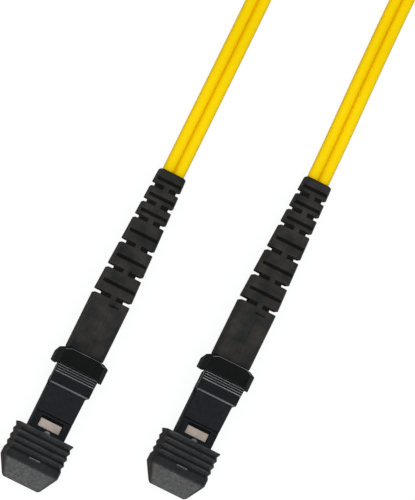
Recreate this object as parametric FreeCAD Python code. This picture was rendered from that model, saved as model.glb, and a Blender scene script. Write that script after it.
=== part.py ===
import FreeCAD, Part
import math
import os

# Duplex fibre patch cord: two capped rectangular plugs, the two ends of one flat two-strand cord.
# Millimetres. +Y runs from the caps to the cord, +X to the right seen from above, +Z up from the floor.
# A plug is drawn in its own frame, y = 0 at the tip of its cap and z = 0 on its axis, and then placed.

# Placing of the two plugs
PLUG_SPACING = 24.1
PLUG_STAGGER = 10.4
PLUG_LENGTH = 61.6

# Dust cap
CAP_LENGTH = 10.0
CAP_HALF_WIDTH = 5.3
CAP_HALF_HEIGHT = 4.7
CAP_CORNER = 0.9
CAP_TIP_HALF_WIDTH = 3.72
CAP_TIP_HALF_HEIGHT = 1.5
CAP_TIP_ROUND = 0.35
CAP_WEDGE_END = 3.5
CAP_RIB_START = 4.9
CAP_RIB_PITCH = 1.22
CAP_RIB_COUNT = 4
CAP_RIB_DEPTH = 0.28
CAP_CLEARANCE = 0.1
CAP_END_GAP = 0.5
CAP_LIP_START = 4.72
CAP_LIP_END = 5.05
CAP_LIP_HALF_WIDTH = 1.05
CAP_LIP_RISE = 0.2
CAP_TONGUE_RADIUS = 0.65
CAP_TONGUE_REACH = 0.45
CAP_TONGUE_THICK = 0.6

# Plug housing
NOSE_FRONT = 2.6
NOSE_LEAD_IN = 0.4
HOUSING_END = 22.1
HOUSING_HALF_WIDTH = 3.52
HOUSING_HALF_HEIGHT = 2.95
HOUSING_CORNER = 0.5
LEVER_SEAT_START = 13.25
LEVER_SEAT_TOP = 2.1
WINDOW_HALF_WIDTH = 2.1
WINDOW_START = 10.7
WINDOW_END = 12.2
WINDOW_RAMP = 0.7
CHAMBER_START = 7.95
CHAMBER_END = 13.1
CHAMBER_HALF_WIDTH = 2.45
CHAMBER_HALF_HEIGHT = 2.4
REAR_BORE_HALF_HEIGHT = 1.55
SNAP_START = 18.1
SNAP_END = 19.8
SNAP_HALF_HEIGHT = 0.9
SNAP_REACH = 3.72
SNAP_RAMP = 0.5

# Latch lever: an arm that rises to the rear and a wider thumb pad with stepped ridges
LEVER_START = 13.3
LEVER_ROOT_BOTTOM = 2.15
LEVER_ROOT_TOP = 3.0
LEVER_BEND_BOTTOM = 2.9
ARM_HALF_WIDTH = 3.47
PAD_HALF_WIDTH = 3.96
PAD_START = 18.35
PAD_RISER = 0.42
PAD_BOTTOM = 3.1
PAD_FOOT = 3.8
PAD_BAND_TOP = 4.4
RIDGE_START = 20.7
RIDGE_PITCH = 0.42
RIDGE_COUNT = 4
RIDGE_RISER = 0.2
LEVER_END = RIDGE_START + (RIDGE_COUNT - 1) * RIDGE_PITCH + RIDGE_RISER
PAD_TOP = 5.2

# Rear collar, given by plan sections from its foot to its top
COLLAR_REAR = 25.5
COLLAR_SECTIONS = [
    # height, half width, front, rear end of the side
    (-3.6, 4.1, 22.6, 24.0),
    (-2.4, 4.83, 22.35, 24.2),
    (3.0, 4.83, 22.0, 24.95),
    (5.2, 3.84, 22.2, 24.95),
]
COLLAR_CHAMFER_SLOPE = 2.0
COLLAR_FRONT = 22.35
COLLAR_PRONG = 0.68

# Rear insert with its crimp barrel, and the sleeve on it
INSERT_START = 17.9
FLANGE_END = 22.9
FLANGE_HALF_WIDTH = 3.2
FLANGE_BOTTOM = -2.8
FLANGE_TOP = 1.95
BARREL_END = 29.0
BARREL_HALF_WIDTH = 2.2
BARREL_HALF_HEIGHT = 1.4
INSERT_BORE_HALF_WIDTH = 1.4
INSERT_BORE_HALF_HEIGHT = 0.7
SLEEVE_START = 25.7
SLEEVE_END = 30.6
SLEEVE_WALL = 0.28

# Ferrule and what rides with it
FERRULE_FRONT = 2.1
FERRULE_HALF_WIDTH = 2.2
FERRULE_HALF_HEIGHT = 1.25
FERRULE_SHOULDER = 8.0
FERRULE_END = 9.3
SHOULDER_HALF_WIDTH = 2.4
SHOULDER_HALF_HEIGHT = 1.6
GUIDE_HOLE_OFFSET = 1.3
GUIDE_HOLE_RADIUS = 0.35
FIBRE_OFFSET = 0.375
FIBRE_RADIUS = 0.125
FIBRE_END = 30.2
GLUE_WINDOW_START = 5.8
GLUE_WINDOW_END = 7.2
SOFT_BOOT_START = 5.8
SOFT_BOOT_END = 11.2
SOFT_BOOT_HALF_WIDTH = 0.8
SOFT_BOOT_HALF_HEIGHT = 0.45
KEEPER_END = 12.25
KEEPER_HALF_WIDTH = 2.05
KEEPER_BOTTOM = -2.0
KEEPER_TOP = 2.3
SPRING_RADIUS = 1.2
SPRING_WIRE_RADIUS = 0.17
SPRING_TURNS = 5
SPRING_STEPS = 10
WIRE_SIDES = 6

# Play between pieces that fit together
FIT = 0.05

# Flats in a round corner of the plain and of the larger mouldings
CORNER_FLATS = 2
SOFT_CORNER_FLATS = 4

# Strain-relief boot: a plain base, then a taper cut by slots from the sides and from top and bottom in turn
BOOT_START = 25.5
BOOT_HALF_WIDTH = 3.5
BOOT_HALF_HEIGHT = 3.3
BOOT_CORNER = 0.9
BOOT_TIP_HALF_WIDTH = 2.57
BOOT_TIP_HALF_HEIGHT = 1.98
BOOT_EDGE = 0.25
BOOT_CAVITY_END = 31.4
SLOT_FIRST = 36.9
SLOT_WIDE_PITCH = 5.05
SLOT_WIDE_COUNT = 4
SLOT_NARROW_PITCH = 3.2
SLOT_NARROW_COUNT = 2
SIDE_SLOT_WIDTH = 0.75
SIDE_SLOT_BRIDGE = 0.55
TOP_SLOT_WIDTH = 0.6
TOP_SLOT_WALL = 0.28
TOP_SLOT_SHIFT = -0.25
SLOT_DEPTH = 0.72
SLOT_CORE_HALF_WIDTH = 2.0
CHANNEL_HALF_WIDTH = 0.45
CHANNEL_DEPTH = 0.12
CHANNEL_END = 34.4
NICK_PLACE = 35.45
NICK_OFFSET = 0.8
NICK_HALF_WIDTH = 0.9
NICK_WIDTH = 0.28
NICK_DEPTH = 0.25

# Flat two-strand cord, its routes and its coil
CORD_HALF_WIDTH = 2.0
CORD_HALF_HEIGHT = 1.0
CORD_HELD_HALF_WIDTH = 1.7
CORD_HELD_END = 59.6
COIL_CENTRE_Y = 106.0
COIL_INNER = 16.0
COIL_OUTER = 24.7
COIL_HEIGHT = 8.4
TIE_WIDTH = 7.0
TIE_THICK = 0.6
JACKET_START = 32.0
ROUTE_A = [
    (-12.05, 26.6, 4.7),
    (-12.05, 46.0, 4.7),
    (-12.0, 66.0, 1.4),
    (-15.4, 80.0, 1.6),
    (-21.4, 93.0, 2.0),
    (-23.6, 106.0, 2.1),
]
ROUTE_B = [
    (12.05, 37.0, 4.7),
    (12.0, 56.0, 4.7),
    (10.5, 76.0, 1.4),
    (14.6, 87.5, 1.9),
    (20.8, 97.3, 4.1),
    (23.6, 106.0, 6.3),
]
ARC_SHARE = 0.45

# Reach of a cutting tool that passes right through, and its overshoot past a face
FAR = 20.0
PAST = 1.0


def point(x, y, z):
    return FreeCAD.Vector(x, y, z)


def box(x_low, x_high, y_low, y_high, z_low, z_high):
    return Part.makeBox(x_high - x_low, y_high - y_low, z_high - z_low, point(x_low, y_low, z_low))


def block(half_width, y_low, y_high, z_low, z_high):
    """A box centred on the plug's axis across x."""
    return box(-half_width, half_width, y_low, y_high, z_low, z_high)


def bar(half_width, half_height, y_low, y_high):
    """A box centred on the plug's axis across x and z."""
    return block(half_width, y_low, y_high, -half_height, half_height)


def polygon_face(points):
    return Part.Face(Part.makePolygon(points + points[:1]))


def flat_loft(sections):
    """A solid of flat faces through outlines whose matching sides are parallel."""
    faces = [polygon_face(sections[0]), polygon_face(sections[-1])]
    for lower, upper in zip(sections, sections[1:]):
        for index in range(len(lower)):
            following = (index + 1) % len(lower)
            faces.append(polygon_face([lower[index], lower[following], upper[following], upper[index]]))
    solid = Part.Solid(Part.Shell(faces))
    if solid.Volume < 0:
        solid.reverse()
    return solid


def across(y, outline):
    """An (x, z) outline across the plug at y."""
    return [point(x, y, z) for x, z in outline]


def rounded_section(y, half_width, half_height, radius, flats=CORNER_FLATS):
    """A rectangle across the plug at y, each of its round corners in a few flats."""
    outline = []
    for side, face, start in ((1, 1, 0), (-1, 1, 90), (-1, -1, 180), (1, -1, 270)):
        for step in range(flats + 1):
            turn = math.radians(start + 90 * step / flats)
            x = side * (half_width - radius) + radius * math.cos(turn)
            z = face * (half_height - radius) + radius * math.sin(turn)
            outline.append((x, z))
    return across(y, outline)


def soft_section(y, half_width, half_height, radius):
    """As above, with rounder corners."""
    return rounded_section(y, half_width, half_height, radius, SOFT_CORNER_FLATS)


def oval_section(y, half_width, half_height):
    """A flat oval across the plug at y, each round side in four flats."""
    flat = half_width - half_height
    right = [math.radians(turn) for turn in (-90, -45, 0, 45, 90)]
    left = [turn + math.pi for turn in right]
    outline = [(flat + half_height * math.cos(turn), half_height * math.sin(turn)) for turn in right]
    outline += [(-flat + half_height * math.cos(turn), half_height * math.sin(turn)) for turn in left]
    return across(y, outline)


def along(section, length):
    """The outline drawn out along +Y."""
    return polygon_face(section).extrude(point(0, length, 0))


def oval_bar(half_width, half_height, y_low, y_high):
    return along(oval_section(y_low, half_width, half_height), y_high - y_low)


def side_profile(corners, half_width):
    """A (y, z) outline drawn out across x."""
    return polygon_face([point(-half_width, y, z) for y, z in corners]).extrude(point(2 * half_width, 0, 0))


def plan_profile(corners, z_low, z_high):
    """An (x, y) outline drawn upwards."""
    return polygon_face([point(x, y, z_low) for x, y in corners]).extrude(point(0, 0, z_high - z_low))


def rod(radius, x, y_low, y_high):
    return Part.makeCylinder(radius, y_high - y_low, point(x, y_low, 0), point(0, 1, 0))


def six_sided_rim(centre, heading, radius):
    """The corners of a thin six-sided wire."""
    rim = Part.Circle(centre, heading, radius).toShape().discretize(WIRE_SIDES + 1)
    return rim[:-1]


def fibre(side, y_low, y_high):
    rim = six_sided_rim(point(side * FIBRE_OFFSET, y_low, 0), point(0, 1, 0), FIBRE_RADIUS)
    return along(rim, y_high - y_low)


def dust_cap():
    tip_round = CAP_TIP_ROUND
    sections = [
        soft_section(0, CAP_TIP_HALF_WIDTH - tip_round, CAP_TIP_HALF_HEIGHT - tip_round, CAP_CORNER / 2),
        soft_section(tip_round, CAP_TIP_HALF_WIDTH, CAP_TIP_HALF_HEIGHT, CAP_CORNER / 2),
        soft_section(CAP_WEDGE_END, CAP_HALF_WIDTH, CAP_HALF_HEIGHT, CAP_CORNER),
        soft_section(CAP_RIB_START, CAP_HALF_WIDTH, CAP_HALF_HEIGHT, CAP_CORNER),
    ]
    for index in range(CAP_RIB_COUNT):
        valley = CAP_RIB_START + (index + 0.5) * CAP_RIB_PITCH
        crest = CAP_RIB_START + (index + 1) * CAP_RIB_PITCH
        low_width = CAP_HALF_WIDTH - CAP_RIB_DEPTH
        low_height = CAP_HALF_HEIGHT - CAP_RIB_DEPTH
        sections.append(soft_section(valley, low_width, low_height, CAP_CORNER))
        sections.append(soft_section(crest, CAP_HALF_WIDTH, CAP_HALF_HEIGHT, CAP_CORNER))
    sections.append(soft_section(CAP_LENGTH, CAP_HALF_WIDTH, CAP_HALF_HEIGHT, CAP_CORNER))
    body = flat_loft(sections)
    tongue_low = HOUSING_HALF_HEIGHT + 2 * CAP_CLEARANCE
    tongue = Part.makeCylinder(
        CAP_TONGUE_RADIUS,
        CAP_TONGUE_THICK,
        point(0, CAP_LENGTH + CAP_TONGUE_REACH - CAP_TONGUE_RADIUS, tongue_low),
    )
    lip = side_profile(
        [
            (CAP_LIP_START, CAP_HALF_HEIGHT),
            (CAP_LIP_END, CAP_HALF_HEIGHT + CAP_LIP_RISE),
            (CAP_LIP_END, CAP_HALF_HEIGHT - CAP_RIB_DEPTH),
            (CAP_LIP_START, CAP_HALF_HEIGHT - CAP_RIB_DEPTH),
        ],
        CAP_LIP_HALF_WIDTH,
    )
    pocket = along(
        rounded_section(
            NOSE_FRONT - CAP_CLEARANCE,
            HOUSING_HALF_WIDTH + CAP_CLEARANCE,
            HOUSING_HALF_HEIGHT + CAP_CLEARANCE,
            HOUSING_CORNER,
        ),
        CAP_LENGTH,
    )
    ferrule_pocket = bar(
        FERRULE_HALF_WIDTH + 2 * CAP_CLEARANCE,
        FERRULE_HALF_HEIGHT + 2 * CAP_CLEARANCE,
        FERRULE_FRONT - CAP_END_GAP,
        NOSE_FRONT,
    )
    return body.fuse(tongue).fuse(lip).cut(pocket).cut(ferrule_pocket).removeSplitter()


def plug_housing():
    lead = NOSE_LEAD_IN
    width = HOUSING_HALF_WIDTH
    height = HOUSING_HALF_HEIGHT
    body = flat_loft(
        [
            rounded_section(NOSE_FRONT, width - lead, height - lead, HOUSING_CORNER),
            rounded_section(NOSE_FRONT + lead, width, height, HOUSING_CORNER),
            rounded_section(HOUSING_END, width, height, HOUSING_CORNER),
        ]
    )
    lever_seat = block(FAR, LEVER_SEAT_START, FAR + HOUSING_END, LEVER_SEAT_TOP, FAR)
    ferrule_bore = bar(
        FERRULE_HALF_WIDTH + 2 * FIT,
        FERRULE_HALF_HEIGHT + 2 * FIT,
        NOSE_FRONT - PAST,
        CHAMBER_START + PAST,
    )
    chamber = bar(CHAMBER_HALF_WIDTH, CHAMBER_HALF_HEIGHT, CHAMBER_START, CHAMBER_END)
    rear_bore = bar(CHAMBER_HALF_WIDTH, REAR_BORE_HALF_HEIGHT, CHAMBER_END - PAST, HOUSING_END + PAST)
    window = side_profile(
        [
            (WINDOW_START, CHAMBER_HALF_HEIGHT - PAST),
            (WINDOW_END, CHAMBER_HALF_HEIGHT - PAST),
            (WINDOW_END, CHAMBER_HALF_HEIGHT),
            (WINDOW_END + WINDOW_RAMP, HOUSING_HALF_HEIGHT),
            (WINDOW_END + WINDOW_RAMP, HOUSING_HALF_HEIGHT + PAST),
            (WINDOW_START, HOUSING_HALF_HEIGHT + PAST),
        ],
        WINDOW_HALF_WIDTH,
    )
    snap_slot = bar(FAR, SNAP_HALF_HEIGHT + FIT, SNAP_START - FIT, SNAP_END + FIT)
    for hollow in (lever_seat, ferrule_bore, chamber, rear_bore, window, snap_slot):
        body = body.cut(hollow)
    return body.removeSplitter()


def latch_lever():
    band_start = PAD_START + PAD_RISER
    profile = [
        (LEVER_START, LEVER_ROOT_BOTTOM),
        (PAD_START, LEVER_BEND_BOTTOM),
        (LEVER_END, PAD_BOTTOM),
    ]
    step_height = (PAD_TOP - PAD_BAND_TOP) / RIDGE_COUNT
    for index in reversed(range(RIDGE_COUNT)):
        foot = RIDGE_START + index * RIDGE_PITCH
        foot_height = PAD_BAND_TOP + index * step_height
        profile.append((foot + RIDGE_RISER, foot_height + step_height))
        profile.append((foot, foot_height))
    profile += [(band_start, PAD_BAND_TOP), (PAD_START, PAD_FOOT), (LEVER_START, LEVER_ROOT_TOP)]
    outline = [
        (-ARM_HALF_WIDTH, LEVER_START),
        (ARM_HALF_WIDTH, LEVER_START),
        (ARM_HALF_WIDTH, PAD_START),
        (PAD_HALF_WIDTH, band_start),
        (PAD_HALF_WIDTH, LEVER_END),
        (-PAD_HALF_WIDTH, LEVER_END),
        (-PAD_HALF_WIDTH, band_start),
        (-ARM_HALF_WIDTH, PAD_START),
    ]
    return side_profile(profile, FAR).common(plan_profile(outline, 0, FAR)).removeSplitter()


def rear_collar():
    sections = []
    for height, half_width, front, side_rear in COLLAR_SECTIONS:
        rear_half_width = half_width - COLLAR_CHAMFER_SLOPE * (COLLAR_REAR - side_rear)
        outline = [
            (-half_width, front),
            (half_width, front),
            (half_width, side_rear),
            (rear_half_width, COLLAR_REAR),
            (-rear_half_width, COLLAR_REAR),
            (-half_width, side_rear),
        ]
        sections.append([point(x, y, height) for x, y in outline])
    body = flat_loft(sections)
    widest = max(half_width for height, half_width, front, side_rear in COLLAR_SECTIONS)
    notch = bar(widest - COLLAR_PRONG, FAR, COLLAR_FRONT - PAST, COLLAR_FRONT)
    flange_pocket = block(
        FLANGE_HALF_WIDTH + FIT,
        COLLAR_FRONT - PAST,
        FLANGE_END + FIT,
        FLANGE_BOTTOM - FIT,
        FLANGE_TOP + FIT,
    )
    barrel_hole = oval_bar(
        BARREL_HALF_WIDTH + FIT,
        BARREL_HALF_HEIGHT + FIT,
        FLANGE_END - PAST,
        COLLAR_REAR + PAST,
    )
    return body.cut(notch).cut(flange_pocket).cut(barrel_hole).removeSplitter()


def rear_insert():
    body = bar(CHAMBER_HALF_WIDTH - FIT, REAR_BORE_HALF_HEIGHT - FIT, INSERT_START, HOUSING_END)
    flange = block(FLANGE_HALF_WIDTH, HOUSING_END, FLANGE_END, FLANGE_BOTTOM, FLANGE_TOP)
    barrel = oval_bar(BARREL_HALF_WIDTH, BARREL_HALF_HEIGHT, FLANGE_END, BARREL_END)
    root = CHAMBER_HALF_WIDTH - 4 * FIT
    ears = plan_profile(
        [
            (-root, SNAP_START),
            (root, SNAP_START),
            (SNAP_REACH, SNAP_START + SNAP_RAMP),
            (SNAP_REACH, SNAP_END),
            (-SNAP_REACH, SNAP_END),
            (-SNAP_REACH, SNAP_START + SNAP_RAMP),
        ],
        -SNAP_HALF_HEIGHT,
        SNAP_HALF_HEIGHT,
    )
    bore = oval_bar(INSERT_BORE_HALF_WIDTH, INSERT_BORE_HALF_HEIGHT, INSERT_START - PAST, BARREL_END + PAST)
    return body.fuse(flange).fuse(barrel).fuse(ears).cut(bore).removeSplitter()


def crimp_sleeve():
    inner_width = BARREL_HALF_WIDTH + FIT / 2
    inner_height = BARREL_HALF_HEIGHT + FIT / 2
    outer = oval_bar(inner_width + SLEEVE_WALL, inner_height + SLEEVE_WALL, SLEEVE_START, SLEEVE_END)
    return outer.cut(oval_bar(inner_width, inner_height, SLEEVE_START - PAST, SLEEVE_END + PAST))


def ferrule():
    body = bar(FERRULE_HALF_WIDTH, FERRULE_HALF_HEIGHT, FERRULE_FRONT, FERRULE_SHOULDER)
    shoulder = bar(SHOULDER_HALF_WIDTH, SHOULDER_HALF_HEIGHT, FERRULE_SHOULDER, FERRULE_END)
    soft_bore = bar(SOFT_BOOT_HALF_WIDTH, SOFT_BOOT_HALF_HEIGHT, SOFT_BOOT_START, FERRULE_END + PAST)
    glue_window = block(
        SOFT_BOOT_HALF_WIDTH,
        GLUE_WINDOW_START,
        GLUE_WINDOW_END,
        0,
        FERRULE_HALF_HEIGHT + PAST,
    )
    body = body.fuse(shoulder).cut(soft_bore).cut(glue_window)
    before = FERRULE_FRONT - PAST
    for side in (-1, 1):
        body = body.cut(rod(GUIDE_HOLE_RADIUS, side * GUIDE_HOLE_OFFSET, before, FERRULE_END + PAST))
        body = body.cut(fibre(side, before, FERRULE_END))
    return body.removeSplitter()


def pin_keeper():
    body = block(KEEPER_HALF_WIDTH, FERRULE_END, KEEPER_END, KEEPER_BOTTOM, KEEPER_TOP)
    passage = bar(SOFT_BOOT_HALF_WIDTH, SOFT_BOOT_HALF_HEIGHT, FERRULE_END - PAST, KEEPER_END + PAST)
    return body.cut(passage)


def ferrule_boot():
    body = bar(SOFT_BOOT_HALF_WIDTH, SOFT_BOOT_HALF_HEIGHT, GLUE_WINDOW_END, SOFT_BOOT_END)
    passage_width = FIBRE_OFFSET + FIBRE_RADIUS + FIT
    passage_height = FIBRE_RADIUS + FIT
    return body.cut(bar(passage_width, passage_height, GLUE_WINDOW_END - PAST, SOFT_BOOT_END + PAST))


def ferrule_spring():
    """A helix in short straight lengths of six-sided wire."""
    margin = SPRING_WIRE_RADIUS + FIT
    start = KEEPER_END + margin
    climb = (INSERT_START - margin - start) / (SPRING_TURNS * SPRING_STEPS)
    centres = []
    for step in range(SPRING_TURNS * SPRING_STEPS + 1):
        turn = 2 * math.pi * step / SPRING_STEPS
        x = SPRING_RADIUS * math.cos(turn)
        z = SPRING_RADIUS * math.sin(turn)
        centres.append(point(x, start + climb * step, z))
    path = Part.makePolygon(centres)
    rim = six_sided_rim(centres[0], centres[1] - centres[0], SPRING_WIRE_RADIUS)
    sweep = Part.BRepOffsetAPI.MakePipeShell(path)
    sweep.setTransitionMode(1)
    sweep.add(Part.makePolygon(rim + rim[:1]))
    sweep.build()
    sweep.makeSolid()
    return sweep.shape()


def fibre_pair():
    return Part.makeCompound([fibre(side, FERRULE_FRONT, FIBRE_END) for side in (-1, 1)])


def boot_half_size(y):
    """Half width and half height of the boot's taper at y."""
    share = (y - SLOT_FIRST) / (PLUG_LENGTH - BOOT_EDGE - SLOT_FIRST)
    half_width = BOOT_HALF_WIDTH + share * (BOOT_TIP_HALF_WIDTH - BOOT_HALF_WIDTH)
    half_height = BOOT_HALF_HEIGHT + share * (BOOT_TIP_HALF_HEIGHT - BOOT_HALF_HEIGHT)
    return half_width, half_height


def side_slot_places():
    wide = [SLOT_FIRST + SLOT_WIDE_PITCH * index for index in range(SLOT_WIDE_COUNT)]
    narrow = [wide[-1] + SLOT_NARROW_PITCH * (index + 1) for index in range(SLOT_NARROW_COUNT)]
    return wide + narrow


def top_slot_places():
    sides = side_slot_places()
    between = [(first + second) / 2 for first, second in zip(sides, sides[1:])]
    between.append(sides[-1] + SLOT_NARROW_PITCH / 2)
    return [place + TOP_SLOT_SHIFT for place in between]


def side_slots():
    """Cuts from both sides towards the middle, right through beside the core that holds the cord."""
    slots = []
    for place in side_slot_places():
        low = place - SIDE_SLOT_WIDTH / 2
        high = place + SIDE_SLOT_WIDTH / 2
        core_half_height = boot_half_size(place)[1] - SLOT_DEPTH
        bridge = bar(SIDE_SLOT_BRIDGE, FAR, low, high)
        core = bar(SLOT_CORE_HALF_WIDTH, core_half_height, low, high)
        slots.append(bar(FAR, FAR, low, high).cut(bridge).cut(core))
    return slots


def top_slots():
    """Shallow cuts across the top and the bottom, closed at their ends."""
    slots = []
    for place in top_slot_places():
        low = place - TOP_SLOT_WIDTH / 2
        high = place + TOP_SLOT_WIDTH / 2
        half_width, half_height = boot_half_size(place)
        reach = half_width - TOP_SLOT_WALL
        floor = half_height - SLOT_DEPTH
        slots.append(block(reach, low, high, floor, FAR))
        slots.append(block(reach, low, high, -FAR, -floor))
    return slots


def boot():
    edge = BOOT_EDGE
    width = BOOT_HALF_WIDTH
    height = BOOT_HALF_HEIGHT
    tip_width = BOOT_TIP_HALF_WIDTH
    tip_height = BOOT_TIP_HALF_HEIGHT
    body = flat_loft(
        [
            soft_section(BOOT_START, width - edge, height - edge, BOOT_CORNER),
            soft_section(BOOT_START + edge, width, height, BOOT_CORNER),
            soft_section(SLOT_FIRST, width, height, BOOT_CORNER),
            soft_section(PLUG_LENGTH - edge, tip_width, tip_height, BOOT_CORNER),
            soft_section(PLUG_LENGTH, tip_width - edge, tip_height - edge, BOOT_CORNER),
        ]
    )
    sleeve_width = BARREL_HALF_WIDTH + SLEEVE_WALL + 2 * FIT
    sleeve_height = BARREL_HALF_HEIGHT + SLEEVE_WALL + 2 * FIT
    hollows = [
        oval_bar(sleeve_width, sleeve_height, BOOT_START - PAST, BOOT_CAVITY_END),
        oval_bar(CORD_HELD_HALF_WIDTH + FIT, CORD_HALF_HEIGHT + FIT, BOOT_CAVITY_END - PAST, CORD_HELD_END),
        oval_bar(CORD_HALF_WIDTH + FIT, CORD_HALF_HEIGHT + FIT, CORD_HELD_END, PLUG_LENGTH + PAST),
        block(CHANNEL_HALF_WIDTH, BOOT_START - PAST, CHANNEL_END, BOOT_HALF_HEIGHT - CHANNEL_DEPTH, FAR),
        box(
            NICK_OFFSET - NICK_HALF_WIDTH,
            NICK_OFFSET + NICK_HALF_WIDTH,
            NICK_PLACE - NICK_WIDTH / 2,
            NICK_PLACE + NICK_WIDTH / 2,
            BOOT_HALF_HEIGHT - NICK_DEPTH,
            FAR,
        ),
    ]
    hollows += side_slots() + top_slots()
    return body.cut(Part.makeCompound(hollows)).removeSplitter()


def route_wire(name, route):
    """Straight runs joined by tangent arcs, each as large as its two runs allow."""
    points = [point(*place) for place in route]
    edges = []
    radii = []
    start = points[0]
    for before, corner, after in zip(points, points[1:], points[2:]):
        back = (before - corner).normalize()
        ahead = (after - corner).normalize()
        half_turn = (math.pi - back.getAngle(ahead)) / 2
        reach = ARC_SHARE * min((before - corner).Length, (after - corner).Length)
        radius = reach / math.tan(half_turn)
        inward = (back + ahead).normalize()
        middle = corner + inward * (radius / math.cos(half_turn) - radius)
        entry = corner + back * reach
        leave = corner + ahead * reach
        edges.append(Part.LineSegment(start, entry).toShape())
        edges.append(Part.Arc(entry, middle, leave).toShape())
        radii.append(round(radius, 1))
        start = leave
    edges.append(Part.LineSegment(start, points[-1]).toShape())
    print(name, "bend radii, mm:", radii)
    return Part.Wire(edges)


def cable_run(name, route, place):
    """The flat cord from its stripped end, held narrower in the boot, to the coil, lying flat all the way."""
    path = route_wire(name, route)
    outline = oval_section(0, CORD_HALF_WIDTH, CORD_HALF_HEIGHT)
    area = polygon_face(outline).Area
    leave = point(*route[0])
    placed = [corner + leave for corner in outline]
    sweep = Part.BRepOffsetAPI.MakePipeShell(path)
    sweep.setBiNormalMode(point(0, 0, 1))
    sweep.add(Part.makePolygon(placed + placed[:1]))
    sweep.build()
    sweep.makeSolid()
    run = sweep.shape()
    print(name, "length, mm:", round(path.Length, 1), "volume over section times length:",
          round(run.Volume / (area * path.Length), 4))
    held_end = CORD_HELD_END + FIT
    held = oval_bar(CORD_HELD_HALF_WIDTH, CORD_HALF_HEIGHT, JACKET_START, held_end)
    held = held.fuse(oval_bar(CORD_HALF_WIDTH, CORD_HALF_HEIGHT, held_end, leave.y - place.y))
    held.translate(place)
    return run.fuse(held).removeSplitter()


def ring(inner, outer, low, high):
    """A plain ring round the coil's centre."""
    outline = across(0, [(inner, low), (outer, low), (outer, high), (inner, high)])
    solid = polygon_face(outline).revolve(point(0, 0, 0), point(0, 0, 1), 360)
    solid.translate(point(0, COIL_CENTRE_Y, 0))
    return solid


def tie_gate():
    """The stretch of the coil that the tie covers, on the side away from the plugs."""
    return block(TIE_WIDTH / 2, COIL_CENTRE_Y, COIL_CENTRE_Y + 2 * COIL_OUTER, -FAR, FAR)


def coil_tie():
    outer = ring(COIL_INNER - TIE_THICK, COIL_OUTER + TIE_THICK, 0, COIL_HEIGHT + TIE_THICK)
    inner = ring(COIL_INNER, COIL_OUTER, TIE_THICK, COIL_HEIGHT)
    return outer.cut(inner).common(tie_gate()).removeSplitter()


def cable_coil(tie):
    body = ring(COIL_INNER, COIL_OUTER, 0, COIL_HEIGHT)
    return body.cut(tie).removeSplitter()


def plug_parts():
    return {
        "dust_cap": dust_cap(),
        "plug_housing": plug_housing(),
        "latch_lever": latch_lever(),
        "rear_collar": rear_collar(),
        "rear_insert": rear_insert(),
        "crimp_sleeve": crimp_sleeve(),
        "ferrule": ferrule(),
        "pin_keeper": pin_keeper(),
        "ferrule_boot": ferrule_boot(),
        "ferrule_spring": ferrule_spring(),
        "fibre_pair": fibre_pair(),
        "boot": boot(),
    }


def patch_cord():
    tip = -(PLUG_LENGTH + PLUG_STAGGER) / 2
    places = {
        "a": point(-PLUG_SPACING / 2, tip, CAP_HALF_HEIGHT),
        "b": point(PLUG_SPACING / 2, tip + PLUG_STAGGER, CAP_HALF_HEIGHT),
    }
    parts = {}
    plug = plug_parts()
    for suffix, place in places.items():
        for name, shape in plug.items():
            placed = shape.copy()
            placed.translate(place)
            parts[name + "_" + suffix] = placed
    parts["cable_run_a"] = cable_run("cable_run_a", ROUTE_A, places["a"])
    parts["cable_run_b"] = cable_run("cable_run_b", ROUTE_B, places["b"])
    parts["coil_tie"] = coil_tie()
    parts["cable_coil"] = cable_coil(parts["coil_tie"])
    return parts


os.makedirs("parts", exist_ok=True)
for node, shape in patch_cord().items():
    print(node, "valid" if shape.isValid() else "NOT VALID", len(shape.Solids), round(shape.Volume, 3))
    shape.exportStep("parts/" + node + ".step")
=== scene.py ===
"""Looks of a duplex fibre patch cord: two capped plugs, their boots and the yellow zipcord between them."""

import math

import bmesh
import bpy
from mathutils import Matrix, Vector, geometry


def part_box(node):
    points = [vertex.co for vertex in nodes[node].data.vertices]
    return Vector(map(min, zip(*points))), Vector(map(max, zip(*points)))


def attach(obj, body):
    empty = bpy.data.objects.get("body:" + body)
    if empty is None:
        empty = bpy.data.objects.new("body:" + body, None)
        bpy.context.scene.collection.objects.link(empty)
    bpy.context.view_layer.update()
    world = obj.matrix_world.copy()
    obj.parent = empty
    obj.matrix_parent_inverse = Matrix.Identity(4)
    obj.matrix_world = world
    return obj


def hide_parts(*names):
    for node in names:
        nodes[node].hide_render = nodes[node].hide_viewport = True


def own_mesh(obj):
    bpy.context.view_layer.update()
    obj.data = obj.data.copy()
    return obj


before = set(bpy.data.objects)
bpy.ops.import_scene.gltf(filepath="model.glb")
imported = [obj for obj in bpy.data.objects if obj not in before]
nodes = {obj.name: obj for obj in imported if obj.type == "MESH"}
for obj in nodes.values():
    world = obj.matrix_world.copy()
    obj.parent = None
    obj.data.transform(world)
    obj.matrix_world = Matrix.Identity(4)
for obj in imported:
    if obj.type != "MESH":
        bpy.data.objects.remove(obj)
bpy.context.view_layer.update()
PLUGS = ("a", "b")

# The photograph's view: the picture's height in pixels, its scale and middle, and how the camera stands
PICTURE_HEIGHT = 500
PIXELS_PER_METRE = 5600
PICTURE_CENTRE = Vector((-0.00045, 0.0162, 0.0047))
VIEW_ROLL = math.radians(26.3)
LEAN_LEFT = math.radians(5.8)
LEAN_FRONT = math.radians(4)
CAMERA_DISTANCE = 0.9
CLIP_START = 0.01
SENSOR_HEIGHT = 36

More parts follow.
